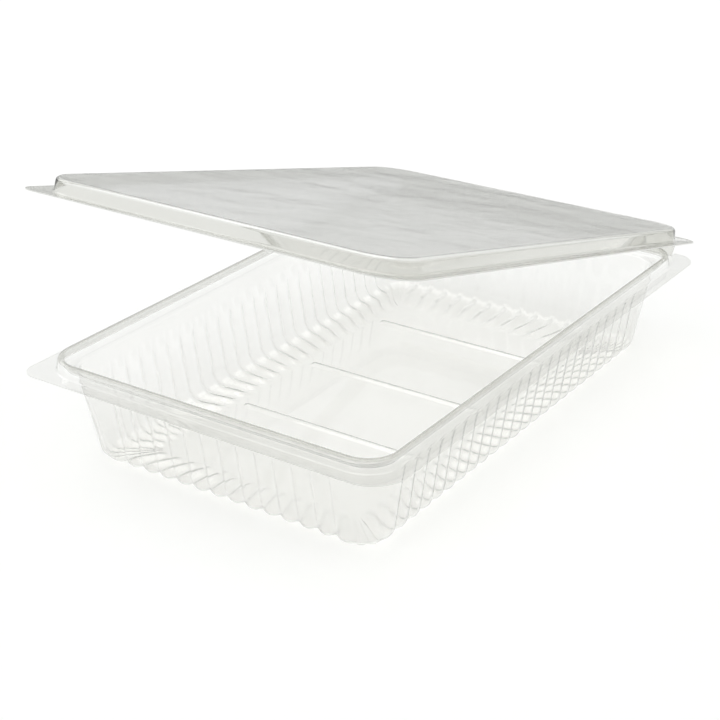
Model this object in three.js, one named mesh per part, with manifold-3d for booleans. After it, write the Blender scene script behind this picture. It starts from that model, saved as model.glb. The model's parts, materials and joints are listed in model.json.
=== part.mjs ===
// An empty takeaway meal container of clear thermoformed plastic sheet: a fluted tray
// and a shallow lid, formed in one sheet and joined along the back by a creased strip.
// Millimetres, +Z up. The tray stands on z = 0 with the middle of its floor at the
// origin, the crease runs along X at the back (+Y), and the lid is part open.
import * as THREE from 'three';
import Module from 'manifold-3d';

const wasm = await Module();
wasm.setup();

const sheet = 0.4;
const rimWidth = 150;
const rimLength = 224;
const halfWidth = rimWidth / 2;
const halfLength = rimLength / 2;

// Heights of the tray's upper face.
const flangeHeight = 35;
const beadRise = 4.4;
const ledgeDrop = 0.4;
const fluteTop = 29.5;
const fluteFade = 2.5;
const wallFoot = 6.5;

// Distances in from the rim's edge.
const beadFoot = 5.2;
const beadLean = 0.7;
const beadEdge = 0.5;
const beadWidth = 3.4;
const wallTop = 11.2;
const wallBottom = 14.6;
const footRadiusInset = 1.8;
const footRadiusHeight = 2;
const floorEdge = 20;
const fluteEnd = 29;
const panelEdge = 32;
const panelStart = 33;
const panelBackMargin = 4;

// Flutes run down the walls, round the foot and out over the floor.
const flutePitch = 7.4;
const fluteDepth = 1.2;
const flutesAcross = 13;
const flutesAlong = 23;
const flutePoints = 3;

// Corner radii, in the order front left, front right, back right, back left.
const outlineRadii = [6.5, 13, 8, 8];
const beadRadius = 13;
const wallRadius = 11;
const arcSteps = 6;

// Low ribs across the floor's middle panel, placed from the middle of the rim.
const floorRibPlaces = [-35, 8, 57];
const floorRibRise = 1;
const floorRibFoot = 2;
const floorRibCrest = 0.7;
const floorRibHalfSpan = 39;

// Lid, above its own flange.
const lidWallFoot = 4.2;
const lidWallLean = 0.4;
const lidShoulder = 3.6;
const lidBevelInset = 5.2;
const lidBevelRise = 4.6;
const lidTopInset = 6.2;
const lidRise = 5;

// The crease stands proud behind the two flanges, on two webs that spring from them.
const creaseY = 112.4;
const creaseZ = 38.4;
const lidFlangeAboveCrease = 3.4;
const lidEdgeAheadOfCrease = 0.9;
const openAngle = THREE.MathUtils.degToRad(14.84);
const webHalfSpan = 65;
const webStart = 2.6;
const webGap = 0.45;
const webRoot = 0.3;
const notchHeight = 2;

const clearPlastic = {
  color: 0xf2f4f0,
  roughness: 0.08,
  metalness: 0,
  transparent: true,
  opacity: 0.35,
};

// Points that agree to this many parts of a millimetre are one vertex.
const vertexGrid = 1e5;

// Collects triangles on shared vertices and leaves out those that close up to a line.
class Sheet {
  constructor() {
    this.vertices = [];
    this.triangles = [];
    this.known = new Map();
  }

  vertex(point) {
    const key = point.map((value) => Math.round(value * vertexGrid)).join();
    if (!this.known.has(key)) {
      this.known.set(key, this.vertices.length / 3);
      this.vertices.push(...point);
    }
    return this.known.get(key);
  }

  triangle(a, b, c) {
    const corners = [this.vertex(a), this.vertex(b), this.vertex(c)];
    if (new Set(corners).size === 3) {
      this.triangles.push(...corners);
    }
  }

  // A band between two rings of points, facing up where the first ring is the outer one.
  band(outer, inner) {
    outer.forEach((point, i) => {
      const next = (i + 1) % outer.length;
      this.triangle(point, outer[next], inner[next]);
      this.triangle(point, inner[next], inner[i]);
    });
  }

  // A flat panel inside a ring, facing up or down, with rectangular holes left in it.
  panel(ring, holes, facesUp) {
    const flat = (points) => points.map(([x, y]) => new THREE.Vector2(x, y));
    const edge = ring.filter((point, i) => this.vertex(point) !== this.vertex(ring.at(i - 1)));
    const points = [edge, ...holes].flat();
    const faces = THREE.ShapeUtils.triangulateShape(flat(edge), holes.map(flat));
    faces.forEach(([a, b, c]) => {
      const turn = THREE.ShapeUtils.area(flat([points[a], points[b], points[c]]));
      if (turn > 0 === facesUp) {
        this.triangle(points[a], points[b], points[c]);
      } else {
        this.triangle(points[a], points[c], points[b]);
      }
    });
  }

  solid() {
    return new wasm.Manifold(
      new wasm.Mesh({
        numProp: 3,
        vertProperties: new Float32Array(this.vertices),
        triVerts: new Uint32Array(this.triangles),
      }),
    );
  }
}

function solidOf(geometry) {
  const loose = geometry.index ? geometry.toNonIndexed() : geometry;
  const flat = loose.getAttribute('position');
  const body = new Sheet();
  const corner = (i) => [flat.getX(i), flat.getY(i), flat.getZ(i)];
  for (let i = 0; i < flat.count; i += 3) {
    body.triangle(corner(i), corner(i + 1), corner(i + 2));
  }
  return body.solid();
}

function geometryOf(solid) {
  const { vertProperties, triVerts } = solid.getMesh();
  const geometry = new THREE.BufferGeometry();
  geometry.setAttribute('position', new THREE.BufferAttribute(vertProperties, 3));
  geometry.setIndex(new THREE.BufferAttribute(triVerts, 1));
  geometry.computeVertexNormals();
  return geometry;
}

// A profile is a list of stations from the rim's edge inwards, each with its inset, its
// height, its corner radius and how far the flutes are raised there, from 0 to 1. The
// sheet's lower face is the same profile moved by its thickness, mitred at each bend.
function lowerFace(profile) {
  const normals = profile.slice(1).map((station, i) => {
    const run = station.inset - profile[i].inset;
    const rise = station.z - profile[i].z;
    const length = Math.hypot(run, rise);
    return [rise / length, -run / length];
  });
  return profile.map((station, i) => {
    const before = normals[Math.max(i - 1, 0)];
    const after = normals[Math.min(i, normals.length - 1)];
    const mitre = sheet / (1 + before[0] * after[0] + before[1] * after[1]);
    const shift = mitre * (before[0] + after[0]);
    return {
      ...station,
      inset: station.inset + shift,
      z: station.z + mitre * (before[1] + after[1]),
      radii: station.radii.map((radius) => radius - shift),
    };
  });
}

// How a flute lifts the sheet at one station: inwards on a wall, upwards on the floor.
function fluteLift(profile, i) {
  const before = profile[Math.max(i - 1, 0)];
  const after = profile[Math.min(i + 1, profile.length - 1)];
  const run = after.inset - before.inset;
  const drop = before.z - after.z;
  const depth = (profile[i].flute * fluteDepth) / Math.hypot(run, drop);
  return { inwards: depth * drop, upwards: depth * run };
}

// Points along one straight side, from -1 to 1 of its stretch. Where a station has no
// flutes only the two ends are kept, and every point takes the nearer one.
function sidePoints(flutes, fluted) {
  const count = flutes * flutePoints;
  return Array.from({ length: count + 1 }, (_, i) => {
    const place = (2 * i) / count - 1;
    const nearerEnd = place > 0 ? 1 : -1;
    return {
      place: fluted ? place : nearerEnd,
      raised: i % flutePoints === 0 ? 0 : 1,
    };
  });
}

// One closed ring of points round the tray or lid, anticlockwise seen from above.
function ring(station, lift) {
  const left = station.inset - halfWidth;
  const right = -left;
  const front = station.inset - halfLength;
  const back = halfLength - station.inset - station.backMargin;
  const corners = [
    { x: left, y: front, inX: 1, inY: 1 },
    { x: right, y: front, inX: -1, inY: 1 },
    { x: right, y: back, inX: -1, inY: -1 },
    { x: left, y: back, inX: 1, inY: -1 },
  ];
  const middle = (front + back) / 2;
  const halfDepth = (back - front) / 2;
  const sides = [
    { flutes: flutesAcross, along: 1, level: front, half: right },
    { flutes: flutesAlong, along: 1, level: right, half: halfDepth },
    { flutes: flutesAcross, along: -1, level: back, half: right },
    { flutes: flutesAlong, along: -1, level: left, half: halfDepth },
  ];
  const points = [];
  corners.forEach((corner, i) => {
    const radius = station.radii[i];
    for (let step = 0; step <= arcSteps; step += 1) {
      const angle = (Math.PI / 2) * (i + 2 + step / arcSteps);
      points.push([
        corner.x + radius * (corner.inX + Math.cos(angle)),
        corner.y + radius * (corner.inY + Math.sin(angle)),
        station.z,
      ]);
    }
    const { flutes, along, level, half } = sides[i];
    const room = half - radius;
    const reach = station.sharesFlutes ? Math.min((flutes * flutePitch) / 2, room) : room;
    sidePoints(flutes, station.fluted).forEach(({ place, raised }) => {
      const across = level - Math.sign(level) * raised * lift.inwards;
      const distance = place * reach * along;
      const [x, y] = i % 2 ? [across, middle + distance] : [distance, across];
      points.push([x, y, station.z + raised * lift.upwards]);
    });
  });
  return points;
}

// Lofts a profile into a closed sheet body, with ribs raised from its last, flat panel.
function loft(profile, ribs) {
  const body = new Sheet();
  const faces = [profile, lowerFace(profile)].map((face) =>
    face.map((station, i) => ring(station, fluteLift(profile, i))),
  );
  const [upper, lower] = faces;
  body.band(lower[0], upper[0]);
  faces.forEach((rings, isLower) => {
    rings.slice(1).forEach((inner, i) => {
      const pair = isLower ? [inner, rings[i]] : [rings[i], inner];
      body.band(...pair);
    });
    const last = rings.at(-1);
    const floor = last[0][2];
    const feet = ribs.map((y) => rib(y, floorRibFoot, floor));
    const crests = ribs.map((y) => rib(y, floorRibCrest, floor + floorRibRise));
    body.panel(last, feet, !isLower);
    feet.forEach((foot, i) => {
      const pair = isLower ? [crests[i], foot] : [foot, crests[i]];
      body.band(...pair);
      body.panel(crests[i], [], !isLower);
    });
  });
  return body.solid();
}

// The outline of a floor rib at one height, narrower towards its crest.
function rib(y, halfBreadth, z) {
  const halfSpan = floorRibHalfSpan + halfBreadth;
  return [
    [-halfSpan, y - halfBreadth, z],
    [halfSpan, y - halfBreadth, z],
    [halfSpan, y + halfBreadth, z],
    [-halfSpan, y + halfBreadth, z],
  ];
}

function stationAt(inset, z, radius, flutes = {}) {
  const radii = [radius, radius, radius, radius];
  return { inset, z, radii, fluted: false, flute: 0, backMargin: 0, ...flutes };
}

// The rim's edge, whose sides are drawn in to the ends of the flutes below them.
function outlineAt(z) {
  return { ...stationAt(0, z, 0, { sharesFlutes: true }), radii: outlineRadii };
}

// Trims the back flange to where its web springs up, and joins on the web, which ends
// just short of the crease. level is the height of the flange's upper face.
function addWeb(body, level, crease) {
  const root = new THREE.Vector2(halfLength - webStart, level - sheet / 2);
  const tip = new THREE.Vector2(...crease);
  const along = tip.clone().sub(root).normalize();
  const across = new THREE.Vector2(-along.y, along.x).multiplyScalar(sheet / 2);
  tip.addScaledVector(along, -webGap);
  const inner = root.clone().addScaledVector(along, -webRoot);
  const outline = [
    inner.clone().sub(across),
    tip.clone().sub(across),
    tip.clone().add(across),
    inner.clone().add(across),
  ];
  const length = 2 * webHalfSpan;
  const web = new THREE.ExtrudeGeometry(new THREE.Shape(outline), {
    depth: length,
    bevelEnabled: false,
  });
  const swap = new THREE.Matrix4().set(0, 0, 1, -webHalfSpan, 1, 0, 0, 0, 0, 1, 0, 0, 0, 0, 0, 1);
  web.applyMatrix4(swap);
  const notch = new THREE.BoxGeometry(length, 2 * webStart, notchHeight);
  notch.translate(0, halfLength, level - sheet / 2);
  return body.subtract(solidOf(notch)).add(solidOf(web));
}

function traySolid() {
  const beadTop = flangeHeight + beadRise;
  const inner = beadFoot + beadWidth;
  const raised = { fluted: true, sharesFlutes: true, flute: 1 };
  const flattened = { ...raised, flute: 0 };
  const footRadius = wallRadius - footRadiusInset;
  const floorRadius = wallRadius + wallBottom - floorEdge;
  const profile = [
    outlineAt(flangeHeight),
    stationAt(beadFoot, flangeHeight, beadRadius),
    stationAt(beadFoot + beadLean, beadTop - beadEdge, beadRadius - beadLean),
    stationAt(beadFoot + beadLean + beadEdge, beadTop, beadRadius - beadLean - beadEdge),
    stationAt(inner - beadLean - beadEdge, beadTop, beadRadius - beadWidth + beadLean + beadEdge),
    stationAt(inner - beadLean, beadTop - beadEdge, beadRadius - beadWidth + beadLean),
    stationAt(inner, flangeHeight + ledgeDrop, beadRadius - beadWidth),
    stationAt(wallTop, flangeHeight - ledgeDrop, wallRadius),
    stationAt(wallTop, fluteTop, wallRadius, flattened),
    stationAt(wallTop + ledgeDrop, fluteTop - fluteFade, wallRadius, raised),
    stationAt(wallBottom, wallFoot, wallRadius, raised),
    stationAt(wallBottom + footRadiusInset, footRadiusHeight, footRadius, raised),
    stationAt(floorEdge, sheet, floorRadius, raised),
    stationAt(fluteEnd, sheet, panelEdge - fluteEnd, { ...raised, backMargin: panelBackMargin }),
    stationAt(panelEdge, sheet, (panelEdge - fluteEnd) / 2, {
      ...flattened,
      backMargin: panelBackMargin,
    }),
    stationAt(panelStart, sheet, 1, { backMargin: panelBackMargin }),
  ];
  return addWeb(loft(profile, floorRibPlaces), flangeHeight, [creaseY, creaseZ]);
}

// The lid lies flat here, its flange's upper face on z = 0 and centred like the tray.
function lidSolid() {
  const radiusAt = (inset) => beadRadius + beadFoot - inset;
  const profile = [
    outlineAt(0),
    stationAt(lidWallFoot, 0, radiusAt(lidWallFoot)),
    stationAt(lidWallFoot + lidWallLean, lidShoulder, radiusAt(lidWallFoot + lidWallLean)),
    stationAt(lidBevelInset, lidBevelRise, radiusAt(lidBevelInset)),
    stationAt(lidTopInset, lidRise, radiusAt(lidTopInset)),
  ];
  const crease = [halfLength + lidEdgeAheadOfCrease, -sheet / 2 - lidFlangeAboveCrease];
  return addWeb(loft(profile, []), 0, crease);
}

function named(name, solid) {
  const mesh = new THREE.Mesh(geometryOf(solid), new THREE.MeshStandardMaterial(clearPlastic));
  mesh.name = name;
  return mesh;
}

const tray = named('tray', traySolid());

const lid = named('lid', lidSolid());
lid.position.set(0, -halfLength - lidEdgeAheadOfCrease, lidFlangeAboveCrease + sheet / 2);

const lidAtCrease = new THREE.Group();
lidAtCrease.position.set(0, creaseY, creaseZ);
lidAtCrease.rotation.x = -openAngle;
lidAtCrease.add(lid);

const container = new THREE.Group();
container.add(tray, lidAtCrease);

export default container;
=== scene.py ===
import json
import math

import bmesh
import bpy
from mathutils import Euler, Matrix, Vector
from mathutils.kdtree import KDTree


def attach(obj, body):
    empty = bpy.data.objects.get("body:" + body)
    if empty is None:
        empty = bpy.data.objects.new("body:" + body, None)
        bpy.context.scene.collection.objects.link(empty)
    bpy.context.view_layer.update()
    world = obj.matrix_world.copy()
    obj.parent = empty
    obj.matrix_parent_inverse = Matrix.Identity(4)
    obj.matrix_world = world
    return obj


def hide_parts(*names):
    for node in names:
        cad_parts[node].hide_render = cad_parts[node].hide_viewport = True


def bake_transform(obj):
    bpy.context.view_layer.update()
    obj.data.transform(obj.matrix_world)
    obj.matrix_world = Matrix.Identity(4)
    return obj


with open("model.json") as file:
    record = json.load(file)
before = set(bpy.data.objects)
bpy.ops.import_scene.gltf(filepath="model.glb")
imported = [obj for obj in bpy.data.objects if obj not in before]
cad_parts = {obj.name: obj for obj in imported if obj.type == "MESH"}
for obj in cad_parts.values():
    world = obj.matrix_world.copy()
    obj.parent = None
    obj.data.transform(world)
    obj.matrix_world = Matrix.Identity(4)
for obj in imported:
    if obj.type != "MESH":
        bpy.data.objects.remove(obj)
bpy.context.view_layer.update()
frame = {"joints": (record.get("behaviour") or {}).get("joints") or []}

# The tray. The real piece is clear PET sheet, heated and drawn down into a mould: a flat
# flange, a raised bead that the lid snaps over, and walls whose flutes run round the foot
# and out over the floor. It stands on the smooth middle panel of its floor.
MM = 0.001
SHEET = 0.25
FULL_GAUGE = 0.4
RIM_WIDTH = 150.0
RIM_LENGTH = 224.0
HALF = (RIM_WIDTH / 2, RIM_LENGTH / 2)
FLANGE_HEIGHT = 35.0
BEAD_RISE = 4.4
BEAD_INSETS = (5.2, 5.7, 8.1, 8.6)
BEAD_ROUNDING = 1.3
LEDGE_ROUNDING = 0.9
LEDGE_DROP = 0.3
BEAD_UNDRAWN = 38.5
BEAD_FADE = 0.7
WALL_INSETS = (11.2, 15.5)
WALL_BEND_HEIGHT = 29.0
FOOT_ROUNDING = 5.5
FLUTE_PITCH = 7.4
FLUTE_DEPTH = 1.2
FLUTES = (13, 23)
FLUTE_STEPS = 8
FLUTE_FADE_HEIGHTS = (29.5, 24.5)
FLUTE_FADE_INSETS = (28.5, 32.0)
CORNER_FLUTES = 3
CORNER_FLUTE_DEPTH = 0.35
PANEL_INSET = 33.0
PANEL_EDGE = 0.6
BACK_MARGIN = 4.0
BACK_MARGIN_INSETS = (20.0, 29.0)
OUTLINE_RADII = (6.5, 13.0, 8.0, 8.0)
RADIUS_INSETS = (5.2, 8.6, 11.2, 14.6, 20.0, 29.0, 33.0)
RADII = (13.0, 9.6, 11.0, 11.0, 5.6, 3.0, 1.0)
ARC_STEPS = 24
LEAD_STEPS = 4
BEND_STEP = math.radians(14)
TRAY_STEP = 3.0
RIB_PLACES = (-35.0, 8.0, 57.0)
RIB_RISE = 0.6
RIB_CROWN = 1.2
RIB_HALF_BREADTH = 2.0
RIB_HALF_SPAN = 40.0
RIB_END = 2.0
RIB_CUTS = (-1.15, -1.0, -0.7, -0.45, -0.2, 0.0, 0.2, 0.45, 0.7, 1.0, 1.15)
RIB_END_CUTS = (-0.2, 0.0, 0.35, 0.7, 1.0)
WEB_HALF_SPAN = 65.0
WEB_START = 2.6
CUT_TOLERANCE = 1e-5
WELD_TOLERANCE = 1e-4
SHARP_BEND = math.radians(38)


def smooth(value):
    value = min(max(value, 0.0), 1.0)
    return value * value * (3 - 2 * value)


def rounded(corners, longest):
    """A profile through corners of (inset, height, rounding radius), with each bend turned
    into an arc and no straight run between points longer than longest."""
    points = [Vector(corners[0][:2])]
    for before, corner, after in zip(corners, corners[1:], corners[2:]):
        here = Vector(corner[:2])
        arriving = (here - Vector(before[:2])).normalized()
        leaving = (Vector(after[:2]) - here).normalized()
        turn = arriving.angle_signed(leaving)
        reach = corner[2] * math.tan(abs(turn) / 2)
        steps = max(2, math.ceil(abs(turn) / BEND_STEP))
        start = here - arriving * reach
        centre = start + Vector((-arriving.y, arriving.x)) * math.copysign(corner[2], -turn)
        for step in range(steps + 1):
            spoke = start - centre
            spoke.rotate(Matrix.Rotation(-turn * step / steps, 2))
            points.append(centre + spoke)
    points.append(Vector(corners[-1][:2]))
    profile = [points[0]]
    for point in points[1:]:
        pieces = max(1, math.ceil((point - profile[-1]).length / longest))
        origin = profile[-1]
        profile += [origin.lerp(point, (i + 1) / pieces) for i in range(pieces)]
    return profile


def radius_at(inset):
    """The corner radius of a ring inside the flange. Round the bead the rings share their
    centres, and further in the corners of the wall and the floor have radii of their own."""
    if inset <= RADIUS_INSETS[0]:
        return RADII[0] + RADIUS_INSETS[0] - inset
    for i in range(1, len(RADII)):
        low, high = RADIUS_INSETS[i - 1 : i + 1]
        if inset <= high:
            return RADII[i - 1] + (RADII[i] - RADII[i - 1]) * (inset - low) / (high - low)
    return RADII[-1]


def rim_columns():
    """The places round the rim where the sheet has a line of points, anticlockwise from the
    front left corner: (kind, corner or side, place along it, how far a flute is raised)."""
    columns = []
    for turn in range(4):
        for step in range(ARC_STEPS + 1):
            wave = (1 - math.cos(math.tau * CORNER_FLUTES * step / ARC_STEPS)) / 2
            columns.append(("arc", turn, step / ARC_STEPS, wave))
        for step in range(1, LEAD_STEPS):
            columns.append(("lead", turn, step / LEAD_STEPS - 2, 0.0))
        count = FLUTES[turn % 2] * FLUTE_STEPS
        for step in range(count + 1):
            wave = (1 - math.cos(math.tau * step / FLUTE_STEPS)) / 2
            columns.append(("flutes", turn, 2 * step / count - 1, wave))
        for step in range(1, LEAD_STEPS):
            columns.append(("lead", turn, 1 + step / LEAD_STEPS, 0.0))
    return columns


def rim_point(column, inset, radius):
    """Where a column crosses one ring of the rim, and the direction inwards from there. The
    fluted border on the floor is a little wider at the back."""
    kind, turn, place, _ = column
    start, end = BACK_MARGIN_INSETS
    margin = BACK_MARGIN * min(max((inset - start) / (end - start), 0.0), 1.0)
    half_x, front, back = HALF[0] - inset, inset - HALF[1], HALF[1] - inset - margin
    half_y = (back - front) / 2
    if kind == "arc":
        corner = Vector(((-half_x, half_x, half_x, -half_x)[turn], (front, front, back, back)[turn]))
        inward = Vector(((1, -1, -1, 1)[turn], (1, 1, -1, -1)[turn]))
        angle = math.pi / 2 * (turn + 2 + place)
        spoke = Vector((math.cos(angle), math.sin(angle)))
        return corner + radius * (inward + spoke), -spoke
    along = Vector(((1, 0), (0, 1), (-1, 0), (0, -1))[turn])
    inward = Vector((-along.y, along.x))
    room = (half_x, half_y)[turn % 2] - radius
    reach = min(FLUTES[turn % 2] * FLUTE_PITCH / 2, room)
    if kind == "flutes":
        distance = place * reach
    else:
        distance = math.copysign(reach + (room - reach) * (abs(place) - 1), place)
    level = (half_y, half_x)[turn % 2]
    return Vector((0, (front + back) / 2)) + along * distance - inward * level, inward


def flute_raise(inset, height):
    """How much of a flute's depth shows at one place on the tray's profile."""
    top, full = FLUTE_FADE_HEIGHTS
    full_out, end = FLUTE_FADE_INSETS
    return smooth((top - height) / (top - full)) * (1 - smooth((inset - full_out) / (end - full_out)))


def ring_points(profile, i, columns, fluted):
    """The points of one ring, with the flutes raised square to the profile. The outermost
    ring takes the flange's own corner radii, anticlockwise from the front left."""
    inset, height = profile[i]
    ahead = profile[min(i + 1, len(profile) - 1)] - profile[max(i - 1, 0)]
    share = flute_raise(inset, height) if fluted and inset > BEAD_INSETS[-1] else 0.0
    lift = Vector((-ahead.y, ahead.x)).normalized() * share
    points = []
    for column in columns:
        kind, turn, place, wave = column
        if i > 0:
            radius = radius_at(inset)
        elif kind == "arc" or place < 0:
            radius = OUTLINE_RADII[turn]
        else:
            radius = OUTLINE_RADII[(turn + 1) % 4]
        point, inward = rim_point(column, inset, radius)
        depth = wave * (CORNER_FLUTE_DEPTH if kind == "arc" else FLUTE_DEPTH)
        points.append(Vector((*(point + inward * lift.x * depth), height + lift.y * depth)))
    return points


def next_ring(bm, ring, points):
    """Extrudes a ring of edges and puts its new points in their places."""
    edges = [bm.edges.get(pair) for pair in zip(ring, ring[1:] + ring[:1])]
    grown = bmesh.ops.extrude_edge_only(bm, edges=edges)["geom"]
    fresh = {piece for piece in grown if isinstance(piece, bmesh.types.BMVert)}
    inner = []
    for vert, point in zip(ring, points):
        ends = [edge.other_vert(vert) for edge in vert.link_edges]
        new = next(end for end in ends if end in fresh)
        new.co = point
        inner.append(new)
    return inner


def cut(bm, faces, co, normal):
    """Cuts faces along a plane and returns them all."""
    around = dict.fromkeys(piece for face in faces for piece in (face, *face.edges, *face.verts))
    parts = bmesh.ops.bisect_plane(
        bm, geom=list(around), dist=CUT_TOLERANCE, plane_co=co, plane_no=normal
    )
    return [piece for piece in parts["geom"] if isinstance(piece, bmesh.types.BMFace)]


def drawn_sheet(profile, fluted):
    """Lofts one half of the container from its flange's edge in to a flat middle panel."""
    bm = bmesh.new()
    columns = rim_columns()
    ring = bmesh.ops.create_circle(bm, cap_ends=False, segments=len(columns), radius=1.0)["verts"]
    for vert, point in zip(ring, ring_points(profile, 0, columns, fluted)):
        vert.co = point
    outline = ring
    for i in range(1, len(profile)):
        ring = next_ring(bm, ring, ring_points(profile, i, columns, fluted))
    notch_for_web(bm, dict.fromkeys(face for vert in outline for face in vert.link_faces))
    edges = [bm.edges.get(pair) for pair in zip(ring, ring[1:] + ring[:1])]
    panel = bmesh.ops.contextual_create(bm, geom=edges)["faces"]
    bmesh.ops.recalc_face_normals(bm, faces=bm.faces[:])
    if panel[0].normal.z < 0:
        bmesh.ops.reverse_faces(bm, faces=bm.faces[:])
    return bm, panel


def notch_for_web(bm, flange):
    """Cuts the back flange away where the hinge strip bends up or down from it."""
    back = HALF[1] - WEB_START
    for x in (-WEB_HALF_SPAN, WEB_HALF_SPAN):
        flange = cut(bm, flange, (x, 0, 0), (1, 0, 0))
    flange = cut(bm, flange, (0, back, 0), (0, 1, 0))
    middles = [(face, face.calc_center_median()) for face in flange]
    beyond = [face for face, middle in middles if middle.y > back and abs(middle.x) < WEB_HALF_SPAN]
    bmesh.ops.delete(bm, geom=beyond, context="FACES")


def raise_ribs(bm, panel):
    """Cuts the tray's middle panel across and raises its low ribs. The cuts are shares of a
    rib's half breadth or of its end, and the outermost lie just outside the rib, so that the
    flat panel beside it is shaded flat."""
    for place in RIB_PLACES:
        for share in RIB_CUTS:
            panel = cut(bm, panel, (0, place + share * RIB_HALF_BREADTH, 0), (0, 1, 0))
    for side in (-1, 1):
        for share in RIB_END_CUTS:
            panel = cut(bm, panel, (side * (RIB_HALF_SPAN - share * RIB_END), 0, 0), (1, 0, 0))
    for vert in {vert for face in panel for vert in face.verts}:
        across = min(abs(vert.co.y - place) for place in RIB_PLACES) / RIB_HALF_BREADTH
        along = (RIB_HALF_SPAN - abs(vert.co.x)) / RIB_END
        vert.co.z += RIB_RISE * smooth(RIB_CROWN * (1 - across)) * smooth(along)


def piece_from(bm, name):
    """Turns a finished mesh into an object in the scene."""
    mesh = bpy.data.meshes.new(name)
    bm.to_mesh(mesh)
    bm.free()
    piece = bpy.data.objects.new(name, mesh)
    bpy.context.scene.collection.objects.link(piece)
    return piece


def finish_sheet(bm, name, undrawn):
    """Gives the sheet its thickness and makes it a smooth-shaded piece in metres. undrawn
    says for each height how far the sheet keeps its gauge there, from 0, drawn down to SHEET,
    to 1, at FULL_GAUGE. The cut edge round the sheet takes the piece's second material."""
    bmesh.ops.dissolve_degenerate(bm, dist=WELD_TOLERANCE, edges=bm.edges[:])
    share = bm.verts.layers.float.new("gauge_and_shade")
    skin = set(bm.verts)
    finder = KDTree(len(skin))
    for i, vert in enumerate(bm.verts):
        finder.insert(vert.co, i)
    finder.balance()
    bmesh.ops.solidify(bm, geom=bm.faces[:], thickness=SHEET)
    for vert in set(bm.verts) - skin:
        opposite = finder.find(vert.co)[0]
        depth = SHEET + (FULL_GAUGE - SHEET) * undrawn(opposite.z)
        vert.co = opposite + (vert.co - opposite) * depth / SHEET
    # Each point also keeps that share as a mask for the material, which paints the sheet darker where it
    # is set: a little for its thickness, mostly painted shade.
    for vert in bm.verts:
        vert[share] = undrawn(vert.co.z)
    for edge in bm.edges:
        edge.smooth = edge.calc_face_angle(0.0) < SHARP_BEND
    for face in bm.faces:
        face.smooth = True
        on_skin = sum(vert in skin for vert in face.verts)
        face.material_index = int(0 < on_skin < len(face.verts))
    bmesh.ops.scale(bm, vec=(MM, MM, MM), verts=bm.verts[:])
    return piece_from(bm, name)


TRAY_CORNERS = (
    (0.0, FLANGE_HEIGHT, 0.0),
    (BEAD_INSETS[0], FLANGE_HEIGHT, LEDGE_ROUNDING),
    (BEAD_INSETS[1], FLANGE_HEIGHT + BEAD_RISE, BEAD_ROUNDING),
    (BEAD_INSETS[2], FLANGE_HEIGHT + BEAD_RISE, BEAD_ROUNDING),
    (BEAD_INSETS[3], FLANGE_HEIGHT + LEDGE_DROP, LEDGE_ROUNDING),
    (WALL_INSETS[0], FLANGE_HEIGHT - LEDGE_DROP, LEDGE_ROUNDING),
    (WALL_INSETS[0], WALL_BEND_HEIGHT, LEDGE_ROUNDING),
    (WALL_INSETS[1], SHEET, FOOT_ROUNDING),
    (PANEL_INSET - PANEL_EDGE, SHEET, 0.0),
)
tray_profile = rounded(TRAY_CORNERS, TRAY_STEP) + [Vector((PANEL_INSET, SHEET))]
tray_bm, tray_panel = drawn_sheet(tray_profile, fluted=True)
raise_ribs(tray_bm, tray_panel)
# The bead's crown keeps the sheet's gauge, and the material paints it darker there: a little for its
# thickness, mostly painted shade.
tray = finish_sheet(tray_bm, "drawn_tray", lambda height: smooth((height - BEAD_UNDRAWN) / BEAD_FADE))


def linear(hex_colour):
    """A linear RGBA colour from an sRGB hex one."""
    parts = [int(hex_colour[i : i + 2], 16) / 255 for i in (1, 3, 5)]
    return (*[c / 12.92 if c <= 0.04045 else ((c + 0.055) / 1.055) ** 2.4 for c in parts], 1.0)


def node(tree, kind, inputs=None, **settings):
    """Adds a node, with its settings, and with values or links for its inputs."""
    made = tree.nodes.new(kind)
    for name, value in settings.items():
        setattr(made, name, value)
    for socket, value in (inputs or {}).items():
        if isinstance(value, bpy.types.NodeSocket):
            tree.links.new(value, made.inputs[socket])
        else:
            made.inputs[socket].default_value = value
    return made


# Thermoformed PET, glossy and clear, with an IOR of 1.575. Seen through it, things are a little
# greyer and warmer. Where the sheet keeps its gauge, on the bead's crown, the lid's flange and
# wall and the hinge strip, it is tinted much darker: a little of that is the thicker sheet, most
# is painted shade for the dark lines that mirrored and refracted light leave along these edges.
# Its face has ripples of 20 mm from the heating and a faint drag of 2 mm from the mould, coarser
# than the real one.
PET_CLEAR = "#FCFCFB"
PET_CLOUDED = "#F7F7F6"
PET_GAUGE_AND_SHADE = "#E4E4E0"
PET_SHADOW = "#FBFBFA"
PET_IOR = 1.575
PET_ROUGHNESS = (0.02, 0.07)
RIPPLE_SIZE = 20 * MM
RIPPLE_DEPTH = 0.15 * MM
RIPPLE_STRENGTH = 0.35
DRAG_SIZE = 2 * MM
DRAG_DEPTH = 0.02 * MM
DRAG_STRENGTH = 0.07
pet = bpy.data.materials.new("thermoformed_pet")
pet.use_nodes = True
tree = pet.node_tree
tree.nodes.clear()
where = node(tree, "ShaderNodeTexCoord")
ripple = node(
    tree,
    "ShaderNodeTexNoise",
    {"Vector": where.outputs["Object"], "Scale": 1 / RIPPLE_SIZE, "Detail": 2.0},
)
drag = node(
    tree,
    "ShaderNodeTexNoise",
    {"Vector": where.outputs["Object"], "Scale": 1 / DRAG_SIZE, "Detail": 3.0},
)
tint = node(tree, "ShaderNodeValToRGB", {"Fac": ripple.outputs["Fac"]})
tint.color_ramp.elements[0].color = linear(PET_CLOUDED)
tint.color_ramp.elements[1].color = linear(PET_CLEAR)
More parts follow.
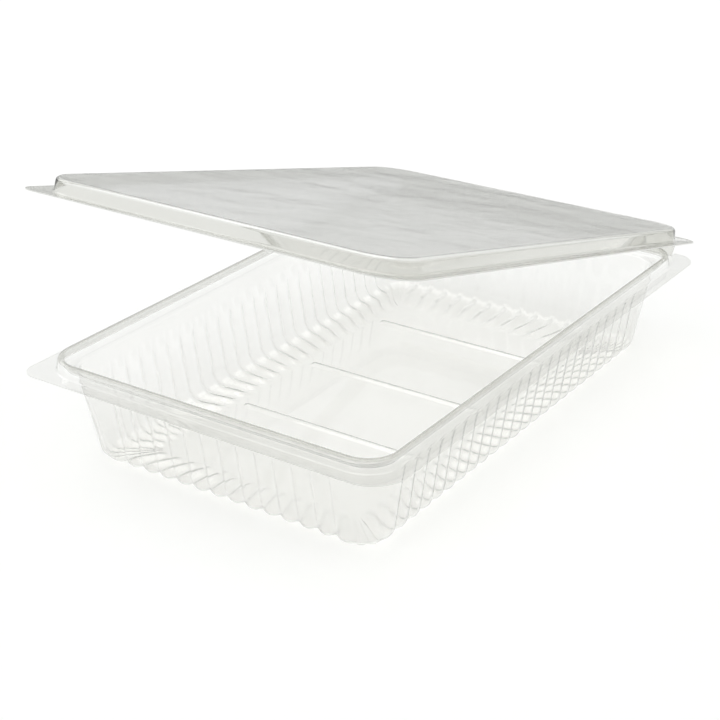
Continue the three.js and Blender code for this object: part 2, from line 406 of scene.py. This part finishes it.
# Reads the mask of where the sheet keeps its gauge and mixes in the darker tint there: a little for the
# thicker sheet, mostly painted shade.
gauge_and_shade = node(tree, "ShaderNodeAttribute", attribute_name="gauge_and_shade")
gauge_and_shade_tint = node(
    tree,
    "ShaderNodeMix",
    {0: gauge_and_shade.outputs["Fac"], 6: tint.outputs["Color"], 7: linear(PET_GAUGE_AND_SHADE)},
    data_type="RGBA",
)
haze = node(
    tree,
    "ShaderNodeMapRange",
    {"Value": drag.outputs["Fac"], "To Min": PET_ROUGHNESS[0], "To Max": PET_ROUGHNESS[1]},
)
slow = node(
    tree,
    "ShaderNodeBump",
    {"Height": ripple.outputs["Fac"], "Strength": RIPPLE_STRENGTH, "Distance": RIPPLE_DEPTH},
)
fine = node(
    tree,
    "ShaderNodeBump",
    {
        "Height": drag.outputs["Fac"],
        "Normal": slow.outputs["Normal"],
        "Strength": DRAG_STRENGTH,
        "Distance": DRAG_DEPTH,
    },
)
plastic = node(
    tree,
    "ShaderNodeBsdfPrincipled",
    {
        "Base Color": gauge_and_shade_tint.outputs[2],
        "Roughness": haze.outputs["Result"],
        "Normal": fine.outputs["Normal"],
        "IOR": PET_IOR,
        "Transmission Weight": 1.0,
    },
)
ray = node(tree, "ShaderNodeLightPath")
passing = node(tree, "ShaderNodeBsdfTransparent", {"Color": linear(PET_SHADOW)})
mixed = node(
    tree,
    "ShaderNodeMixShader",
    {0: ray.outputs["Is Shadow Ray"], 1: plastic.outputs["BSDF"], 2: passing.outputs["BSDF"]},
)
node(tree, "ShaderNodeOutputMaterial", {"Surface": mixed.outputs["Shader"]})

# The edge that the cutting die leaves on the same PET is rough, so it scatters light and
# shows as a soft pale line.
EDGE_COLOUR = "#EDEDEB"
EDGE_ROUGHNESS = (0.45, 0.7)
cut_edge = bpy.data.materials.new("die_cut_edge")
cut_edge.use_nodes = True
edge_tree = cut_edge.node_tree
edge_tree.nodes.clear()
edge_where = node(edge_tree, "ShaderNodeTexCoord")
grain = node(
    edge_tree,
    "ShaderNodeTexNoise",
    {"Vector": edge_where.outputs["Object"], "Scale": 1 / DRAG_SIZE, "Detail": 3.0},
)
rough = node(
    edge_tree,
    "ShaderNodeMapRange",
    {"Value": grain.outputs["Fac"], "To Min": EDGE_ROUGHNESS[0], "To Max": EDGE_ROUGHNESS[1]},
)
torn = node(
    edge_tree,
    "ShaderNodeBsdfPrincipled",
    {"Base Color": linear(EDGE_COLOUR), "Roughness": rough.outputs["Result"], "IOR": PET_IOR},
)
node(edge_tree, "ShaderNodeOutputMaterial", {"Surface": torn.outputs["BSDF"]})

tray.data.materials.append(pet)
tray.data.materials.append(cut_edge)
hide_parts("tray")
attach(tray, "tray")

# The lid. It is drawn from the same sheet as the tray, to a flat top with a bevelled edge
# and a wall that fits outside the tray's bead. It is modelled lying shut and flat, and is
# then turned up about the crease to where the photograph has it.
LID_RISE = 5.0
LID_WALL_INSETS = (4.2, 4.7)
LID_FOOT_ROUNDING = 0.8
LID_SHOULDER_ROUNDING = 1.6
LID_PANEL_INSET = 12.0
LID_STEP = 4.0
LID_CORNERS = (
    (0.0, 0.0, 0.0),
    (LID_WALL_INSETS[0], 0.0, LID_FOOT_ROUNDING),
    (LID_WALL_INSETS[1], LID_RISE, LID_SHOULDER_ROUNDING),
    (LID_PANEL_INSET, LID_RISE, 0.0),
)
CREASE = Vector(frame["joints"][0]["pos_m"])
LID_EDGE_AHEAD = 0.9
LID_FLANGE_ABOVE = 3.4
OPEN_ANGLE = math.radians(14.84)
LID_UNDRAWN = 3.4
LID_FADE = 1.2
lid_profile = rounded(LID_CORNERS, LID_STEP)
lid_bm, _ = drawn_sheet(lid_profile, fluted=False)
# The lid's flange and wall keep the sheet's gauge, and the material paints them darker: a little for their
# thickness, mostly painted shade.
lid = finish_sheet(lid_bm, "drawn_lid", lambda height: 1 - smooth((height - LID_UNDRAWN) / LID_FADE))
to_crease = Matrix.Translation(
    (0, -(HALF[1] + LID_EDGE_AHEAD) * MM, (LID_FLANGE_ABOVE + SHEET / 2) * MM)
)
lid_place = Matrix.Translation(CREASE) @ Matrix.Rotation(-OPEN_ANGLE, 4, "X") @ to_crease
lid.data.transform(lid_place)
lid.data.materials.append(pet)
lid.data.materials.append(cut_edge)
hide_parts("lid")
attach(lid, "lid")

# The hinge strip. On the real container this is the same sheet, left flat between tray and
# lid and creased along its middle, so it bulges out behind when the lid comes down. Here
# it is a film of its own that follows the tray below the crease and the lid above it.
FILM_ROUNDING = 1.2
FILM_STEP = 0.8
tray_root = Vector((HALF[1] - WEB_START, FLANGE_HEIGHT - SHEET / 2))
lid_root = lid_place @ Vector((0, (HALF[1] - WEB_START) * MM, -SHEET / 2 * MM)) / MM
crease = CREASE / MM
film_bend = rounded(
    ((*tray_root, 0.0), (crease.y, crease.z, FILM_ROUNDING), (lid_root.y, lid_root.z, 0.0)),
    FILM_STEP,
)
film_bm = bmesh.new()
line = [film_bm.verts.new((-WEB_HALF_SPAN, *point)) for point in film_bend]
edges = [film_bm.edges.new(pair) for pair in zip(line, line[1:])]
grown = bmesh.ops.extrude_edge_only(film_bm, edges=edges)["geom"]
fresh = [piece for piece in grown if isinstance(piece, bmesh.types.BMVert)]
bmesh.ops.translate(film_bm, verts=fresh, vec=(2 * WEB_HALF_SPAN, 0, 0))
bmesh.ops.recalc_face_normals(film_bm, faces=film_bm.faces[:])
# The strip keeps its full gauge all over, so the material paints all of it in the darker tint: a little
# for its thickness, mostly painted shade.
film = finish_sheet(film_bm, "hinge_film", lambda height: 1.0)
film.data.materials.append(pet)
film.data.materials.append(cut_edge)
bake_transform(film)

# The stage: a pale matt table under the container and soft studio light from above and
# from the left. A low grey curtain runs round it, which only mirrored light meets, so that
# the plastic's flatter faces mirror an even room, as they do in the photograph.
FLOOR_RADIUS = 1.2
FLOOR_COLOUR = "#F7F7F7"
ROOM_COLOUR = "#DADBD9"
CURTAIN_COLOUR = "#C4C5C3"
CURTAIN_RADIUS = 0.42
CURTAIN_HEIGHT = 0.2
TABLE_GAP = 0.15 * MM
ROUND_SEGMENTS = 96
LIT_POINT = Vector((0.0, 0.0, 0.03))
world = bpy.data.worlds.new("studio")
bpy.context.scene.world = world
world.use_nodes = True
world.node_tree.nodes["Background"].inputs["Color"].default_value = linear(ROOM_COLOUR)
world.node_tree.nodes["Background"].inputs["Strength"].default_value = 1.0


def round_piece(name, radius, height, kind, colour):
    """A stage piece, a disc or, where it has a height, an open drum. It lies a hair below
    the container, so that light passes between them."""
    bm = bmesh.new()
    bmesh.ops.create_circle(bm, cap_ends=height == 0, segments=ROUND_SEGMENTS, radius=radius)
    if height:
        grown = bmesh.ops.extrude_edge_only(bm, edges=bm.edges[:])["geom"]
        top = [piece for piece in grown if isinstance(piece, bmesh.types.BMVert)]
        bmesh.ops.translate(bm, verts=top, vec=(0, 0, height))
    bmesh.ops.translate(bm, verts=bm.verts[:], vec=(0, 0, -TABLE_GAP))
    piece = piece_from(bm, name)
    paint = bpy.data.materials.new(name)
    paint.use_nodes = True
    paint.node_tree.nodes.clear()
    surface = node(paint.node_tree, kind, {"Color": linear(colour)})
    node(paint.node_tree, "ShaderNodeOutputMaterial", {"Surface": surface.outputs[0]})
    piece.data.materials.append(paint)
    return piece


round_piece("matt_table", FLOOR_RADIUS, 0, "ShaderNodeBsdfDiffuse", FLOOR_COLOUR)
curtain = round_piece("grey_curtain", CURTAIN_RADIUS, CURTAIN_HEIGHT, "ShaderNodeEmission", CURTAIN_COLOUR)
curtain.visible_camera = False
curtain.visible_diffuse = False
curtain.visible_shadow = False
curtain.visible_transmission = False


def softbox(name, place, size, power):
    """A square area lamp that faces the container."""
    lamp = bpy.data.lights.new(name, "AREA")
    lamp.size = size
    lamp.energy = power
    holder = bpy.data.objects.new(name, lamp)
    holder.location = place
    holder.rotation_euler = (LIT_POINT - Vector(place)).to_track_quat("-Z", "Y").to_euler()
    bpy.context.scene.collection.objects.link(holder)


softbox("overhead", place=(-0.4, 0.2, 3.0), size=3.2, power=44.0)
softbox("left_window", place=(-2.4, -0.3, 1.5), size=1.5, power=9.0)

# The camera stands to the front right of the container and looks down on it by about 25
# degrees. Its lens takes in the photograph's square frame with no shift.
CAMERA_PLACE = (0.30188, -0.45350, 0.27212)
CAMERA_TURN = math.radians(34.591)
CAMERA_DOWN = math.radians(25.253)
CAMERA_ROLL = math.radians(-0.4925)
SENSOR = 36.0
LENS = 80.5
camera = bpy.data.cameras.new("photo_view")
camera.sensor_width = SENSOR
camera.lens = LENS
stand = bpy.data.objects.new("photo_view", camera)
stand.location = CAMERA_PLACE
aim = Euler((math.pi / 2 - CAMERA_DOWN, 0.0, CAMERA_TURN)).to_matrix()
stand.rotation_euler = (aim @ Matrix.Rotation(CAMERA_ROLL, 3, "Z")).to_euler()
bpy.context.scene.collection.objects.link(stand)
bpy.context.scene.camera = stand
bpy.context.scene.view_settings.view_transform = "Standard"
